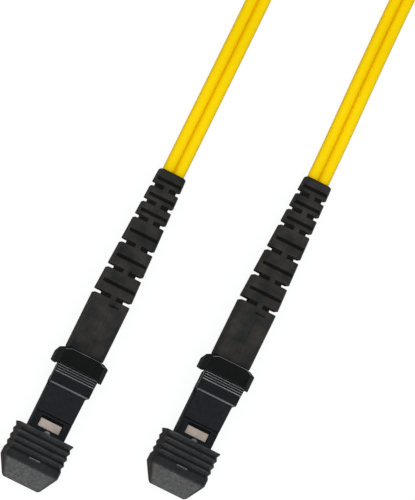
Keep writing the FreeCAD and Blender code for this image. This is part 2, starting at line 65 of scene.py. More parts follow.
# The zipcord's route in metres, from the jacket's end inside each boot to the coil
JACKET_A = (-0.01205, -0.001, 0.0047)
ROUTE_A = [
    (-0.01205, 0.0266, 0.0047),
    (-0.01200, 0.0460, 0.0047),
    (-0.01180, 0.0620, 0.00206),
    (-0.01190, 0.0695, 0.0013),
    (-0.01430, 0.0770, 0.0017),
    (-0.01780, 0.0840, 0.0020),
    (-0.02110, 0.0910, 0.0021),
    (-0.02330, 0.0985, 0.0021),
]
JACKET_B = (0.01205, 0.0094, 0.0047)
ROUTE_B = [
    (0.01200, 0.0370, 0.0047),
    (0.01145, 0.0560, 0.0047),
    (0.01145, 0.0710, 0.00223),
    (0.01165, 0.0762, 0.0014),
    (0.01370, 0.0820, 0.0017),
    (0.01800, 0.0877, 0.0024),
    (0.02200, 0.0935, 0.0042),
    (0.02365, 0.1000, 0.0063),
]
ROUTE_STEPS = 16
SPLINE_ORDER = 3

# The coil: its turns, its two layers, the climb between them, and the lift of each turn under the strap
COIL_CENTRE = Vector((0, 0.106, 0))
COIL_TURNS = 6.5
COIL_POINTS_A_TURN = 14
COIL_OUTER = 0.0232
COIL_PITCH = 0.00201
COIL_LOW = 0.0021
COIL_HIGH = 0.0063
CLIMB_RADIUS = 0.0162
CLIMB_TURNS = (0.3, 0.62)
TIE_LIFT = 0.00055
TIE_LIFT_ANGLE = math.radians(40)

# The zipcord's section, and its width as shares of the plain one: held in the boots, open on the runs
STRAND_RADIUS = 0.001
GROOVE_HEIGHT = 0.0002
GROOVE_ANGLE = math.radians(156)
STRAND_SIDES = 13
HELD_SHARE = 0.84
OPEN_SHARE = 1.06

# Stretches from the cord's ends: out of the boot's hold, back to the plain width, and turned on edge
HELD_UNTIL = (0.0235, 0.0258)
COILED_FROM = (0.075, 0.1)
UPRIGHT_FROM = (0.066, 0.1)

# The strap that ties the coil, its sides as distances from the coil's middle
STRAP_THICKNESS = 0.0005
STRAP_RAISE = 0.00045
STRAP_NEAR = 0.01425
STRAP_FAR = 0.0243
STRAP_CORNER = 0.0012
STRAP_CORNER_SEGMENTS = 4
STRAP_FLAP_START = 0.0035
STRAP_FLAP_DROP = 0.0045
STRAP_EASE = 0.0001


def smooth_step(low, high, value):
    """From 0 at low to 1 at high, level at both ends."""
    share = min(max((value - low) / (high - low), 0), 1)
    return share * share * (3 - 2 * share)


# Camera

def add_camera():
    """A long lens almost straight above the plugs, leaning to their left and front, and rolled."""
    back = Vector((-math.tan(LEAN_LEFT), -math.tan(LEAN_FRONT), 1)).normalized()
    upward = Vector((-math.sin(VIEW_ROLL), math.cos(VIEW_ROLL), 0))
    right = upward.cross(back).normalized()
    turn = Matrix((right, back.cross(right), back)).transposed()
    lens = bpy.data.cameras.new("view")
    lens.sensor_fit = "VERTICAL"
    lens.sensor_height = SENSOR_HEIGHT
    lens.lens = SENSOR_HEIGHT * CAMERA_DISTANCE * PIXELS_PER_METRE / PICTURE_HEIGHT
    lens.clip_start = CLIP_START
    camera = bpy.data.objects.new("view", lens)
    camera.matrix_world = Matrix.Translation(PICTURE_CENTRE + back * CAMERA_DISTANCE) @ turn.to_4x4()
    bpy.context.scene.collection.objects.link(camera)
    bpy.context.scene.camera = camera


add_camera()


# Helpers for node trees

NOISE_RANGE = (0.3, 0.7)
BUMP_STRENGTH = 0.5


def new_group(name, inputs, outputs):
    """An empty shader node group with the named sockets, and its input and output nodes."""
    group = bpy.data.node_groups.new(name, "ShaderNodeTree")
    for label, kind, value in inputs:
        socket = group.interface.new_socket(label, in_out="INPUT", socket_type=kind)
        socket.default_value = value
    for label, kind in outputs:
        group.interface.new_socket(label, in_out="OUTPUT", socket_type=kind)
    return group, group.nodes.new("NodeGroupInput"), group.nodes.new("NodeGroupOutput")


def feed(tree, socket, value):
    """A plain value or colour on the socket, or a link into it."""
    if isinstance(value, (int, float)):
        socket.default_value = value
    elif isinstance(value, tuple):
        socket.default_value = (*value, 1)
    else:
        tree.links.new(value, socket)


def noise(tree, vector, scale, detail):
    node = tree.nodes.new("ShaderNodeTexNoise")
    node.inputs["Detail"].default_value = detail
    feed(tree, node.inputs["Scale"], scale)
    tree.links.new(vector, node.inputs["Vector"])
    return node.outputs["Fac"]


def spread(tree, value, low, high):
    """The range where most of a noise lies, drawn out to low and high."""
    node = tree.nodes.new("ShaderNodeMapRange")
    node.inputs["From Min"].default_value, node.inputs["From Max"].default_value = NOISE_RANGE
    feed(tree, node.inputs["To Min"], low)
    feed(tree, node.inputs["To Max"], high)
    tree.links.new(value, node.inputs["Value"])
    return node.outputs["Result"]


def ramp(tree, value, given, wanted):
    """A smooth change from one level to another."""
    node = tree.nodes.new("ShaderNodeMapRange")
    node.interpolation_type = "SMOOTHSTEP"
    node.inputs["From Min"].default_value, node.inputs["From Max"].default_value = given
    node.inputs["To Min"].default_value, node.inputs["To Max"].default_value = wanted
    tree.links.new(value, node.inputs["Value"])
    return node.outputs["Result"]


def math_node(tree, operation, first, second=0):
    node = tree.nodes.new("ShaderNodeMath")
    node.operation = operation
    feed(tree, node.inputs[0], first)
    feed(tree, node.inputs[1], second)
    return node.outputs["Value"]


def mix_colour(tree, share, first, second):
    node = tree.nodes.new("ShaderNodeMix")
    node.data_type = "RGBA"
    colours = [socket for socket in node.inputs if socket.type == "RGBA"]
    feed(tree, node.inputs[0], share)
    feed(tree, colours[0], first)
    feed(tree, colours[1], second)
    return [socket for socket in node.outputs if socket.type == "RGBA"][0]


def split(tree, vector):
    node = tree.nodes.new("ShaderNodeSeparateXYZ")
    tree.links.new(vector, node.inputs["Vector"])
    return node.outputs


def level_share(tree, normal, limits):
    """Nothing on steep faces and one on level ones, whether they look up or down."""
    upright = math_node(tree, "ABSOLUTE", split(tree, normal)["Z"])
    return ramp(tree, upright, limits, (0, 1))


def new_material(name):
    material = bpy.data.materials.new(name)
    material.use_nodes = True
    return material, material.node_tree, material.node_tree.nodes["Principled BSDF"]


def add_bump(tree, shader, height, depth):
    bump = tree.nodes.new("ShaderNodeBump")
    bump.inputs["Strength"].default_value = BUMP_STRENGTH
    bump.inputs["Distance"].default_value = depth
    tree.links.new(height, bump.inputs["Height"])
    tree.links.new(bump.outputs["Normal"], shader.inputs["Normal"])


# Materials

# What moulded finishes share: the scale of clouds and wear, and how steepness, grain and wear vary the gloss;
# steepness also sets where each finish's painted steep tone lies
CLOUD_SCALE = 380
WEAR_SCALE = 1100
STEEP_TO_LEVEL = (0.3, 0.62)
GRAIN_GLOSS = (0.65, 1.35)
WEAR_GLOSS = (0.8, 1.2)
GLOSS_IOR = 1.45
NO_GLOSS = (0, 0)

# Moulded finishes: roughness from and to, the grain's scale and depth, the gloss's weight and roughness. The
# steep painted tone stands in for how light falls on steep faces: painted light and shade
MOULDINGS = {
    "cap_plastic": dict(
        colour=(0.0098, 0.0098, 0.0098), cloud=(0.0142, 0.0132, 0.0122), steep_painted_tone=(0.0225, 0.0178, 0.0145),
        roughness=(0.8, 0.95), grain=(2600, 0.00001), specular=0.05, gloss=(0.65, 0.42),
    ),
    "plug_plastic": dict(
        colour=(0.0042, 0.0047, 0.0055), cloud=(0.0065, 0.0066, 0.0072), steep_painted_tone=(0.014, 0.014, 0.0145),
        roughness=(0.8, 0.95), grain=(6000, 0.000006), specular=0.05, gloss=(0.52, 0.2),
    ),
    "collar_plastic": dict(
        colour=(0.004, 0.0046, 0.0038), cloud=(0.0055, 0.006, 0.005), steep_painted_tone=(0.01, 0.01, 0.0095),
        roughness=(0.8, 0.95), grain=(6000, 0.000006), specular=0.05, gloss=(0.2, 0.3),
    ),
    "boot_rubber": dict(
        colour=(0.0115, 0.0122, 0.0126), cloud=(0.038, 0.0318, 0.0255), steep_painted_tone=(0.028, 0.024, 0.0205),
        roughness=(0.85, 1.0), grain=(3500, 0.000015), specular=0.05, gloss=(0.45, 0.5),
    ),
    # Painted shade: a darker rubber without gloss laid on the boot slots' walls and floors
    "painted_slot_shade_rubber": dict(
        colour=(0.0098, 0.0093, 0.0085), cloud=(0.0135, 0.0125, 0.0112), steep_painted_tone=(0.012, 0.011, 0.0098),
        roughness=(0.85, 1.0), grain=(3500, 0.000015), specular=0.05,
    ),
    # Painted highlight: a light grey laid on the lever pad's steps and left edges, the cap's lip and tongue
    # and the collar's back edge
    "painted_highlight_plastic": dict(
        colour=(0.13, 0.132, 0.136), cloud=(0.27, 0.27, 0.273), steep_painted_tone=(0.14, 0.14, 0.14),
        roughness=(0.45, 0.6), grain=(2600, 0.000006), specular=0.2,
    ),
    # Painted highlight on the lever pad's riser
    "painted_riser_highlight_plastic": dict(
        colour=(0.07, 0.071, 0.073), cloud=(0.14, 0.14, 0.142), steep_painted_tone=(0.08, 0.08, 0.08),
        roughness=(0.45, 0.6), grain=(2600, 0.000006), specular=0.2,
    ),
    # Painted highlight on the cap ribs' crests
    "painted_crest_highlight_plastic": dict(
        colour=(0.022, 0.023, 0.025), cloud=(0.075, 0.076, 0.08), steep_painted_tone=(0.03, 0.03, 0.03),
        roughness=(0.6, 0.8), grain=(2600, 0.000006), specular=0.1,
    ),
    "keeper_plastic": dict(
        colour=(0.29, 0.232, 0.185), cloud=(0.54, 0.44, 0.366), steep_painted_tone=(0.38, 0.3, 0.24),
        roughness=(0.4, 0.55), grain=(5000, 0.000004), specular=0.5,
    ),
    "ferrule_resin": dict(
        colour=(0.03, 0.03, 0.03), cloud=(0.045, 0.045, 0.045), steep_painted_tone=(0.035, 0.035, 0.035),
        roughness=(0.3, 0.45), grain=(8000, 0.000003), specular=0.5,
    ),
    "soft_boot_rubber": dict(
        colour=(0.32, 0.3, 0.27), cloud=(0.4, 0.38, 0.34), steep_painted_tone=(0.35, 0.33, 0.3),
        roughness=(0.55, 0.7), grain=(4000, 0.000006), specular=0.4,
    ),
}

# Metals and glass fibres
METAL_NOISE_SCALE = 1500
METAL_ROUGHNESS_SPREAD = 0.06
SPRING_COLOUR = (0.62, 0.6, 0.57)
SPRING_ROUGHNESS = 0.25
SLEEVE_COLOUR = (0.66, 0.62, 0.52)
SLEEVE_ROUGHNESS = 0.32
FIBRE_NOISE_SCALE = 800
FIBRE_COLOURS = ((0.75, 0.76, 0.74), (0.85, 0.85, 0.82))
FIBRE_ROUGHNESS = 0.15

# The yellow jacket, its streaks counted to the metre along the cord and to the turn round it
JACKET_STREAKS = (120, 14, 1)
JACKET_CREST_COLOURS = ((0.995, 0.66, 0.0), (1.0, 0.682, 0.0))
# Painted shade: flanks and groove take a darker yellow than the crests, by how steeply the surface faces
JACKET_FLANK_PAINTED_SHADE = (0.845, 0.545, 0.0)
FLANK_TO_CREST = (0.4, 0.88)
JACKET_ROUGHNESS = (0.45, 0.53)
JACKET_GRAIN_SCALE = 3000
JACKET_GRAIN_DEPTH = 0.000006
JACKET_SPECULAR = 0.1

# The woven strap
WEAVE_PITCH = 0.0007
WEAVE_EDGES = (-0.8, 0.8)
WEAVE_COLOURS = ((0.008, 0.008, 0.009), (0.03, 0.03, 0.032))
WEAVE_DEPTH = 0.00008
WEAVE_ROUGHNESS = 0.85
WEAVE_SPECULAR = 0.2


def moulded_group():
    """Mould grain, clouded colour, a painted tone of light and shade on steep faces, and a gloss that fades
    where a face turns steep.
    """
    group, given, result = new_group(
        "moulded_surface",
        [
            ("Colour", "NodeSocketColor", (0.02, 0.02, 0.02, 1)),
            ("Cloud Colour", "NodeSocketColor", (0.04, 0.04, 0.04, 1)),
            ("Steep Painted Tone", "NodeSocketColor", (0.03, 0.03, 0.03, 1)),
            ("Low Roughness", "NodeSocketFloat", 0.4),
            ("High Roughness", "NodeSocketFloat", 0.6),
            ("Grain Scale", "NodeSocketFloat", 6000),
            ("Gloss", "NodeSocketFloat", 0),
        ],
        [
            ("Colour", "NodeSocketColor"),
            ("Roughness", "NodeSocketFloat"),
            ("Gloss", "NodeSocketFloat"),
            ("Height", "NodeSocketFloat"),
        ],
    )
    value = given.outputs
    spot = group.nodes.new("ShaderNodeTexCoord").outputs
    cloud = noise(group, spot["Object"], CLOUD_SCALE, detail=4)
    grain = noise(group, spot["Object"], value["Grain Scale"], detail=2)
    wear = noise(group, spot["Object"], WEAR_SCALE, detail=3)
    level = level_share(group, spot["Normal"], STEEP_TO_LEVEL)
    clouded = mix_colour(group, spread(group, cloud, 0, 1), value["Colour"], value["Cloud Colour"])
    # Painted light and shade: steep faces take the steep painted tone in place of the clouded colour
    colour = mix_colour(group, level, value["Steep Painted Tone"], clouded)
    rough = spread(group, wear, value["Low Roughness"], value["High Roughness"])
    speckles = spread(group, grain, *GRAIN_GLOSS)
    speckled = math_node(group, "MULTIPLY", speckles, spread(group, wear, *WEAR_GLOSS))
    faded = math_node(group, "MULTIPLY", level, speckled)
    polished = math_node(group, "MULTIPLY", faded, value["Gloss"])
    group.links.new(colour, result.inputs["Colour"])
    group.links.new(rough, result.inputs["Roughness"])
    group.links.new(polished, result.inputs["Gloss"])
    group.links.new(grain, result.inputs["Height"])
    return group


MOULDED = moulded_group()


def moulded_material(name, colour, cloud, steep_painted_tone, roughness, grain, specular, gloss=NO_GLOSS):
    """A moulded plastic or rubber with its own colours, gloss and grain."""
    material, tree, shader = new_material(name)
    surface = tree.nodes.new("ShaderNodeGroup")
    surface.node_tree = MOULDED
    grain_scale, grain_depth = grain
    gloss_weight, gloss_roughness = gloss
    feed(tree, surface.inputs["Colour"], colour)
    feed(tree, surface.inputs["Cloud Colour"], cloud)
    feed(tree, surface.inputs["Steep Painted Tone"], steep_painted_tone)
    surface.inputs["Low Roughness"].default_value, surface.inputs["High Roughness"].default_value = roughness
    surface.inputs["Grain Scale"].default_value = grain_scale
    surface.inputs["Gloss"].default_value = gloss_weight
    tree.links.new(surface.outputs["Colour"], shader.inputs["Base Color"])
    tree.links.new(surface.outputs["Roughness"], shader.inputs["Roughness"])
    add_bump(tree, shader, surface.outputs["Height"], grain_depth)
    shader.inputs["Specular IOR Level"].default_value = specular
    if gloss_weight:
        tree.links.new(surface.outputs["Gloss"], shader.inputs["Coat Weight"])
        shader.inputs["Coat Roughness"].default_value = gloss_roughness
        shader.inputs["Coat IOR"].default_value = GLOSS_IOR
    return material


def metal_material(name, colour, roughness):
    """A bare metal with a faintly uneven sheen."""
    material, tree, shader = new_material(name)
    place = tree.nodes.new("ShaderNodeTexCoord").outputs["Object"]
    uneven = noise(tree, place, METAL_NOISE_SCALE, detail=3)
    rough = spread(tree, uneven, roughness - METAL_ROUGHNESS_SPREAD, roughness + METAL_ROUGHNESS_SPREAD)
    tree.links.new(rough, shader.inputs["Roughness"])
    feed(tree, shader.inputs["Base Color"], colour)
    shader.inputs["Metallic"].default_value = 1
    return material


def fibre_material():
    """Pale coated glass."""
    material, tree, shader = new_material("fibre_glass")
    place = tree.nodes.new("ShaderNodeTexCoord").outputs["Object"]
    tint = mix_colour(tree, noise(tree, place, FIBRE_NOISE_SCALE, detail=2), *FIBRE_COLOURS)
    tree.links.new(tint, shader.inputs["Base Color"])
    shader.inputs["Roughness"].default_value = FIBRE_ROUGHNESS
    return material


def jacket_material():
    """Satin yellow vinyl with painted shade on its flanks and in the groove, and faint streaks drawn along
    the cord.
    """
    material, tree, shader = new_material("jacket_vinyl")
    along = tree.nodes.new("ShaderNodeUVMap")
    along.uv_map = "along"
    stretch = tree.nodes.new("ShaderNodeMapping")
    stretch.inputs["Scale"].default_value = JACKET_STREAKS
    tree.links.new(along.outputs["UV"], stretch.inputs["Vector"])
    streaks = noise(tree, stretch.outputs["Vector"], scale=1, detail=4)
    spot = tree.nodes.new("ShaderNodeTexCoord").outputs
    grain = noise(tree, spot["Object"], JACKET_GRAIN_SCALE, detail=2)
    level = level_share(tree, spot["Normal"], FLANK_TO_CREST)
    crest = mix_colour(tree, spread(tree, streaks, 0, 1), *JACKET_CREST_COLOURS)
    tree.links.new(mix_colour(tree, level, JACKET_FLANK_PAINTED_SHADE, crest), shader.inputs["Base Color"])
    tree.links.new(spread(tree, streaks, *JACKET_ROUGHNESS), shader.inputs["Roughness"])
    add_bump(tree, shader, grain, JACKET_GRAIN_DEPTH)
    shader.inputs["Specular IOR Level"].default_value = JACKET_SPECULAR
    return material


def strap_material():
    """Black woven strap: threads that cross at a fine pitch."""
    material, tree, shader = new_material("strap_weave")
    place = split(tree, tree.nodes.new("ShaderNodeTexCoord").outputs["Object"])
    turns = 2 * math.pi / WEAVE_PITCH
    length = math_node(tree, "ADD", place["Y"], place["Z"])
    weft = math_node(tree, "SINE", math_node(tree, "MULTIPLY", place["X"], turns))
    warp = math_node(tree, "SINE", math_node(tree, "MULTIPLY", length, turns))
    weave = math_node(tree, "MULTIPLY", weft, warp)
    thread = ramp(tree, weave, WEAVE_EDGES, (0, 1))
    tree.links.new(mix_colour(tree, thread, *WEAVE_COLOURS), shader.inputs["Base Color"])
    shader.inputs["Roughness"].default_value = WEAVE_ROUGHNESS
    shader.inputs["Specular IOR Level"].default_value = WEAVE_SPECULAR
    add_bump(tree, shader, weave, WEAVE_DEPTH)
    return material


FINISHES = {name: moulded_material(name, **moulding) for name, moulding in MOULDINGS.items()}
FINISHES["spring_steel"] = metal_material("spring_steel", SPRING_COLOUR, SPRING_ROUGHNESS)
FINISHES["sleeve_metal"] = metal_material("sleeve_metal", SLEEVE_COLOUR, SLEEVE_ROUGHNESS)
FINISHES["fibre_glass"] = fibre_material()
FINISHES["jacket_vinyl"] = jacket_material()
FINISHES["strap_weave"] = strap_material()


# Helpers for pieces

# An edge is broken where it is sharp and the faces beside it are some chamfers wide
SHARP_ANGLE = math.radians(30)
ACUTE = math.radians(50)
ROOM_IN_CHAMFERS = 2.2

# What counts as one point and as one flat face when a solid's triangles are merged
MERGE_GAP = 0.000001
LEVEL_ANGLE = math.radians(1)


def add_piece(name, mesh, finishes, body, smooth=False):
    """A finished mesh with one finish for each of its material numbers, as a piece that rides on a body."""
    data = bpy.data.meshes.new(name)
    mesh.to_mesh(data)
    mesh.free()
    for polygon in data.polygons:
        polygon.use_smooth = smooth
    for label in finishes:
        data.materials.append(FINISHES[label])
    piece = bpy.data.objects.new(name, data)
    bpy.context.scene.collection.objects.link(piece)
    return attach(piece, body)


def gap_to_edge(place, edge):
    """How far a place is from an edge."""
    first, second = (vertex.co for vertex in edge.verts)
    nearest, share = geometry.intersect_point_line(place, first, second)
    if share < 0:
        nearest = first
    if share > 1:
        nearest = second
    return (place - nearest).length


def room_beside(edge, face):
    """How far an edge is from the face's other edges, without neighbours that turn well away from it."""
    room = math.inf
    for other in face.edges:
        shared = set(edge.verts) & set(other.verts)
        if len(shared) == 2:
            continue
        for vertex in shared:
            ahead = edge.other_vert(vertex).co - vertex.co
            aside = other.other_vert(vertex).co - vertex.co
            if ahead.angle(aside) > ACUTE:
                break
        else:
            gaps = [gap_to_edge(vertex.co, other) for vertex in edge.verts if vertex not in shared]
            gaps += [gap_to_edge(vertex.co, edge) for vertex in other.verts if vertex not in shared]
            room = min(room, *gaps)
    return room


def bevel_edges(mesh, edges, width, segments):
    """The edges cut back by a width: a flat chamfer in one segment, a round in more."""
    bmesh.ops.bevel(
        mesh,
        geom=edges,
        offset=width,
        offset_type="OFFSET",
        segments=segments,
        profile=0.5,
        affect="EDGES",
        clamp_overlap=False,
        material=-1,
    )


def ease_edges(mesh, width):
    """Every sharp edge broken by a narrow chamfer, where the faces beside it have room for one."""
    sharp = [
        edge for edge in mesh.edges
        if edge.is_manifold and edge.calc_face_angle() > SHARP_ANGLE
        and min(room_beside(edge, face) for face in edge.link_faces) > ROOM_IN_CHAMFERS * width
    ]
    bevel_edges(mesh, sharp, width, segments=1)


def merged_copy(node):
    """The node's solid with its doubles merged and its flat faces whole."""
    mesh = bmesh.new()
    mesh.from_mesh(nodes[node].data)
    bmesh.ops.remove_doubles(mesh, verts=mesh.verts, dist=MERGE_GAP)
    bmesh.ops.dissolve_limit(mesh, angle_limit=LEVEL_ANGLE, verts=mesh.verts, edges=mesh.edges)
    return mesh


# The zipcord and the strap round its coil

def coil_turns():
    """Inward in the lower layer, up inside its turns and outward in the upper one, clockwise from above."""
    points = []
    steps = round(COIL_TURNS * COIL_POINTS_A_TURN)
    # The spline touches only the middles of the lines between its points, so the points lie further out
    spline_share = math.cos(math.pi / COIL_POINTS_A_TURN)
    for step in range(steps + 1):
        turn = COIL_TURNS * (step / steps - 0.5)
        spiral = COIL_OUTER - COIL_PITCH * (COIL_TURNS / 2 - abs(turn))
        radius = CLIMB_RADIUS + (spiral - CLIMB_RADIUS) * smooth_step(*CLIMB_TURNS, abs(turn))
        reach = radius / spline_share
        height = COIL_LOW + (COIL_HIGH - COIL_LOW) * smooth_step(-CLIMB_TURNS[0], CLIMB_TURNS[0], turn)
        off_tie = 2 * math.pi * abs(turn - round(turn))
        height += TIE_LIFT * (1 - smooth_step(TIE_LIFT_ANGLE / 2, TIE_LIFT_ANGLE, off_tie))
        angle = math.pi / 2 - 2 * math.pi * turn
        points.append(COIL_CENTRE + Vector((reach * math.cos(angle), reach * math.sin(angle), height)))
    return points


def route_line():
    """Points read from the route's own smooth spline."""
    places = [JACKET_A, *ROUTE_A, *coil_turns(), *reversed(ROUTE_B), JACKET_B]
    curve = bpy.data.curves.new("route", "CURVE")
    curve.dimensions = "3D"
    curve.resolution_u = ROUTE_STEPS
    spline = curve.splines.new("NURBS")
    spline.points.add(len(places) - 1)
    for spot, place in zip(spline.points, places):
        spot.co = (*place, 1)
    spline.order_u = SPLINE_ORDER
    spline.use_endpoint_u = True
    carrier = bpy.data.objects.new("route", curve)
    line = bpy.data.meshes.new_from_object(carrier)
    points = [vertex.co.copy() for vertex in line.vertices]
    bpy.data.objects.remove(carrier)
    bpy.data.meshes.remove(line)
    return points


def zipcord_outline():
    """Two round strands joined by a web, as (across, up) from the middle of the web."""
    outline = []
    for side in (1, -1):
        for index in range(STRAND_SIDES):
            turn = GROOVE_ANGLE * (2 * index / (STRAND_SIDES - 1) - 1)
            across = STRAND_RADIUS * (1 + math.cos(turn))
            outline.append((side * across, side * STRAND_RADIUS * math.sin(turn)))
        outline.append((0, side * GROOVE_HEIGHT))
    return outline


def width_share(from_end):
    """Narrow where a boot holds the cord, a little open along the run, and plain in the coil."""
    opened = HELD_SHARE + (OPEN_SHARE - HELD_SHARE) * smooth_step(*HELD_UNTIL, from_end)
    return opened + (1 - opened) * smooth_step(*COILED_FROM, from_end)


def distances_along(line):
    """How far along the line each of its points lies."""
    reached = [0]
    for before, after in zip(line, line[1:]):
        reached.append(reached[-1] + (after - before).length)
    return reached


def section_axes(line, index, from_end):
    """The section's ways across and up: flat near the boots, and turned on edge in the coil."""
    heading = (line[min(index + 1, len(line) - 1)] - line[max(index - 1, 0)]).normalized()
    side = heading.cross(Vector((0, 0, 1))).normalized()
    roll = Matrix.Rotation(math.pi / 2 * smooth_step(*UPRIGHT_FROM, from_end), 3, heading)
    across = roll @ side
    return across, across.cross(heading)


def zipcord_mesh(line):
    """The zipcord's section carried along the line, with a map of the distance along it and the way round."""
    outline = zipcord_outline()
    reached = distances_along(line)
    mesh = bmesh.new()
    marks = mesh.loops.layers.uv.new("along")
    rings = []
    for index, place in enumerate(line):
        from_end = min(reached[index], reached[-1] - reached[index])
        across, up = section_axes(line, index, from_end)
        share = width_share(from_end)
        rings.append([mesh.verts.new(place + across * x * share + up * z) for x, z in outline])
    for index, (first, second) in enumerate(zip(rings, rings[1:])):
        for corner in range(len(outline)):
            following = (corner + 1) % len(outline)
            face = mesh.faces.new((first[corner], first[following], second[following], second[corner]))
            spots = ((index, corner), (index, corner + 1), (index + 1, corner + 1), (index + 1, corner))
            for loop, (station, step) in zip(face.loops, spots):
                loop[marks].uv = (reached[station], step / len(outline))
        # The floor of each groove stays a crisp line
        for corner in (STRAND_SIDES, len(outline) - 1):
            mesh.edges.get((first[corner], second[corner])).smooth = False
    mesh.faces.new(rings[0])
    mesh.faces.new(rings[-1])
    bmesh.ops.recalc_face_normals(mesh, faces=mesh.faces)
    return mesh


def strap_band(places, width, closed):
    """A flat band along the (y, z) places: round corners, its thickness inwards and its edges broken."""
    mesh = bmesh.new()
    made = [mesh.verts.new((-width / 2, y, z)) for y, z in places]
    pairs = list(zip(made, made[1:]))
    if closed:
        pairs.append((made[-1], made[0]))
    edges = [mesh.edges.new(pair) for pair in pairs]
    grown = bmesh.ops.extrude_edge_only(mesh, edges=edges)["geom"]
    moved = [item for item in grown if isinstance(item, bmesh.types.BMVert)]
    bmesh.ops.translate(mesh, verts=moved, vec=(width, 0, 0))
    corners = [
        edge for vertex in made for edge in vertex.link_edges
        if abs(edge.other_vert(vertex).co.x - vertex.co.x) > width / 2 and len(edge.link_faces) == 2
    ]
    bevel_edges(mesh, corners, STRAP_CORNER, STRAP_CORNER_SEGMENTS)
    bmesh.ops.recalc_face_normals(mesh, faces=mesh.faces)
    bmesh.ops.solidify(mesh, geom=mesh.faces[:], thickness=STRAP_THICKNESS)
    ease_edges(mesh, STRAP_EASE)
    return mesh


def coil_strap():
    """A woven strap round the coil's turns, its end laid over the top and down the outside."""
    low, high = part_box("coil_tie")
    width = high.x - low.x
    top = high.z + STRAP_RAISE
    near = COIL_CENTRE.y + STRAP_NEAR
    far = COIL_CENTRE.y + STRAP_FAR
    loop = ((near, low.z), (far, low.z), (far, top), (near, top))
    outside = far + STRAP_THICKNESS
    over = top + STRAP_THICKNESS
    flap = ((near + STRAP_FLAP_START, over), (outside, over), (outside, over - STRAP_FLAP_DROP))
    whole = bmesh.new()
    for band in (strap_band(loop, width, closed=True), strap_band(flap, width, closed=False)):
        part = bpy.data.meshes.new("band")
        band.to_mesh(part)
        band.free()
        whole.from_mesh(part)
        bpy.data.meshes.remove(part)
    strap = add_piece("coil_strap", whole, ["strap_weave"], "cord")
    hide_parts("coil_tie")
    return strap


def zipcord(strap):
    """The whole cord on one smooth line from boot to boot; the strap that ties it is passed in but not used.
    """
    line = route_line()
    piece = add_piece("zipcord", zipcord_mesh(line), ["jacket_vinyl"], "cord", smooth=True)
    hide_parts("cable_run_a", "cable_run_b", "cable_coil")


zipcord(coil_strap())


# The plugs

# Each outer piece: its node, its finishes, its slot, its body and the width of its broken edges
LEVER_FINISHES = ("plug_plastic", "painted_highlight_plastic", "collar_plastic", "painted_riser_highlight_plastic")
OUTER_PIECES = [
    ("dust_cap", ("cap_plastic", "painted_highlight_plastic", "painted_crest_highlight_plastic"), "cap_black", "cap_{}", 0.00007),
    ("plug_housing", ("plug_plastic",), "plug_black", "cord", 0.00007),
    ("latch_lever", LEVER_FINISHES, "plug_black", "lever_{}", 0.00005),
    ("rear_collar", ("collar_plastic", "painted_highlight_plastic"), "plug_black", "cord", 0.00008),
    ("boot", ("boot_rubber", "painted_slot_shade_rubber"), "boot_black", "cord", 0.00009),
]

# Inner pieces, shown as their solids are
INNER_PIECES = {
    "rear_insert": "plug_plastic",
    "crimp_sleeve": "sleeve_metal",
    "ferrule": "ferrule_resin",
    "pin_keeper": "keeper_plastic",
    "ferrule_boot": "soft_boot_rubber",
    "fibre_pair": "fibre_glass",
}

# The lever's pad: the drop from ridge to ridge, and how far down each carries a painted highlight, from the
# highest to the riser
RIDGE_STEP = 0.0002
RIDGE_HIGHLIGHT_DEPTH = 0.00009
FRONT_RIDGE_HIGHLIGHT_DEPTH = 0.00015
RISER_HIGHLIGHT_DEPTH = 0.00034
PAD_HIGHLIGHT_DEPTHS = (RIDGE_HIGHLIGHT_DEPTH, RIDGE_HIGHLIGHT_DEPTH, RIDGE_HIGHLIGHT_DEPTH, FRONT_RIDGE_HIGHLIGHT_DEPTH, RISER_HIGHLIGHT_DEPTH)
RISER = len(PAD_HIGHLIGHT_DEPTHS) - 1

# The pad's treads lie within so many drops of its top. Its left flank is plain, and it starts behind the root
TREAD_DROPS = 3.5
PAD_FLANK = 0.0003
PAD_FROM_ROOT = 0.0046

# The cap: its round front edge, the lip before its ribs, the ribs' crests and the tongue behind them
WEDGE_EDGE = 0.0035
WEDGE_EDGE_NEAR = 0.00001
WEDGE_ROUND = 0.00028
WEDGE_SEGMENTS = 3
LIP_FROM_TIP = (0.00492, 0.0051)
LIP_HALF_WIDTH = 0.0012
CREST_WIDTH = 0.00025
CREST_DEPTH = 0.0003
TONGUE_REACH = 0.00045

# How far a face's normal turns to count as upward, sideward, forward or square to an axis
UPWARD = 0.4
SIDEWARD = 0.45
FORWARD = 0.1
SQUARE = 0.9998

# How deep inside the boot's outline the faces of its slots lie, which get painted shade
SLOT_INSIDE = 0.0002


def cut_level(mesh, place, normal):
    """The mesh's faces divided where a plane crosses them."""
    parts = [*mesh.verts, *mesh.edges, *mesh.faces]
    bmesh.ops.bisect_plane(mesh, geom=parts, plane_co=place, plane_no=normal)


def divide_lever(mesh, low, high):
    """Cuts that bound the painted highlight on top of each step on the pad, and the pad's plain left flank.
    """
    for step, depth in enumerate(PAD_HIGHLIGHT_DEPTHS):
        cut_level(mesh, (0, 0, high.z - step * RIDGE_STEP - depth), (0, 0, 1))
    cut_level(mesh, (low.x + PAD_FLANK, 0, 0), (1, 0, 0))


def divide_cap(mesh, low, high):
    """A cut that bounds the painted highlight on top of the lip."""
    cut_level(mesh, (0, low.y + LIP_FROM_TIP[0], 0), (0, 1, 0))


def highlighted_step(top, height):
    """The number of the pad's step whose painted highlight band holds this height, or None."""
    for step, depth in enumerate(PAD_HIGHLIGHT_DEPTHS):
        if 0 < top - step * RIDGE_STEP - height < depth:
            return step
    return None


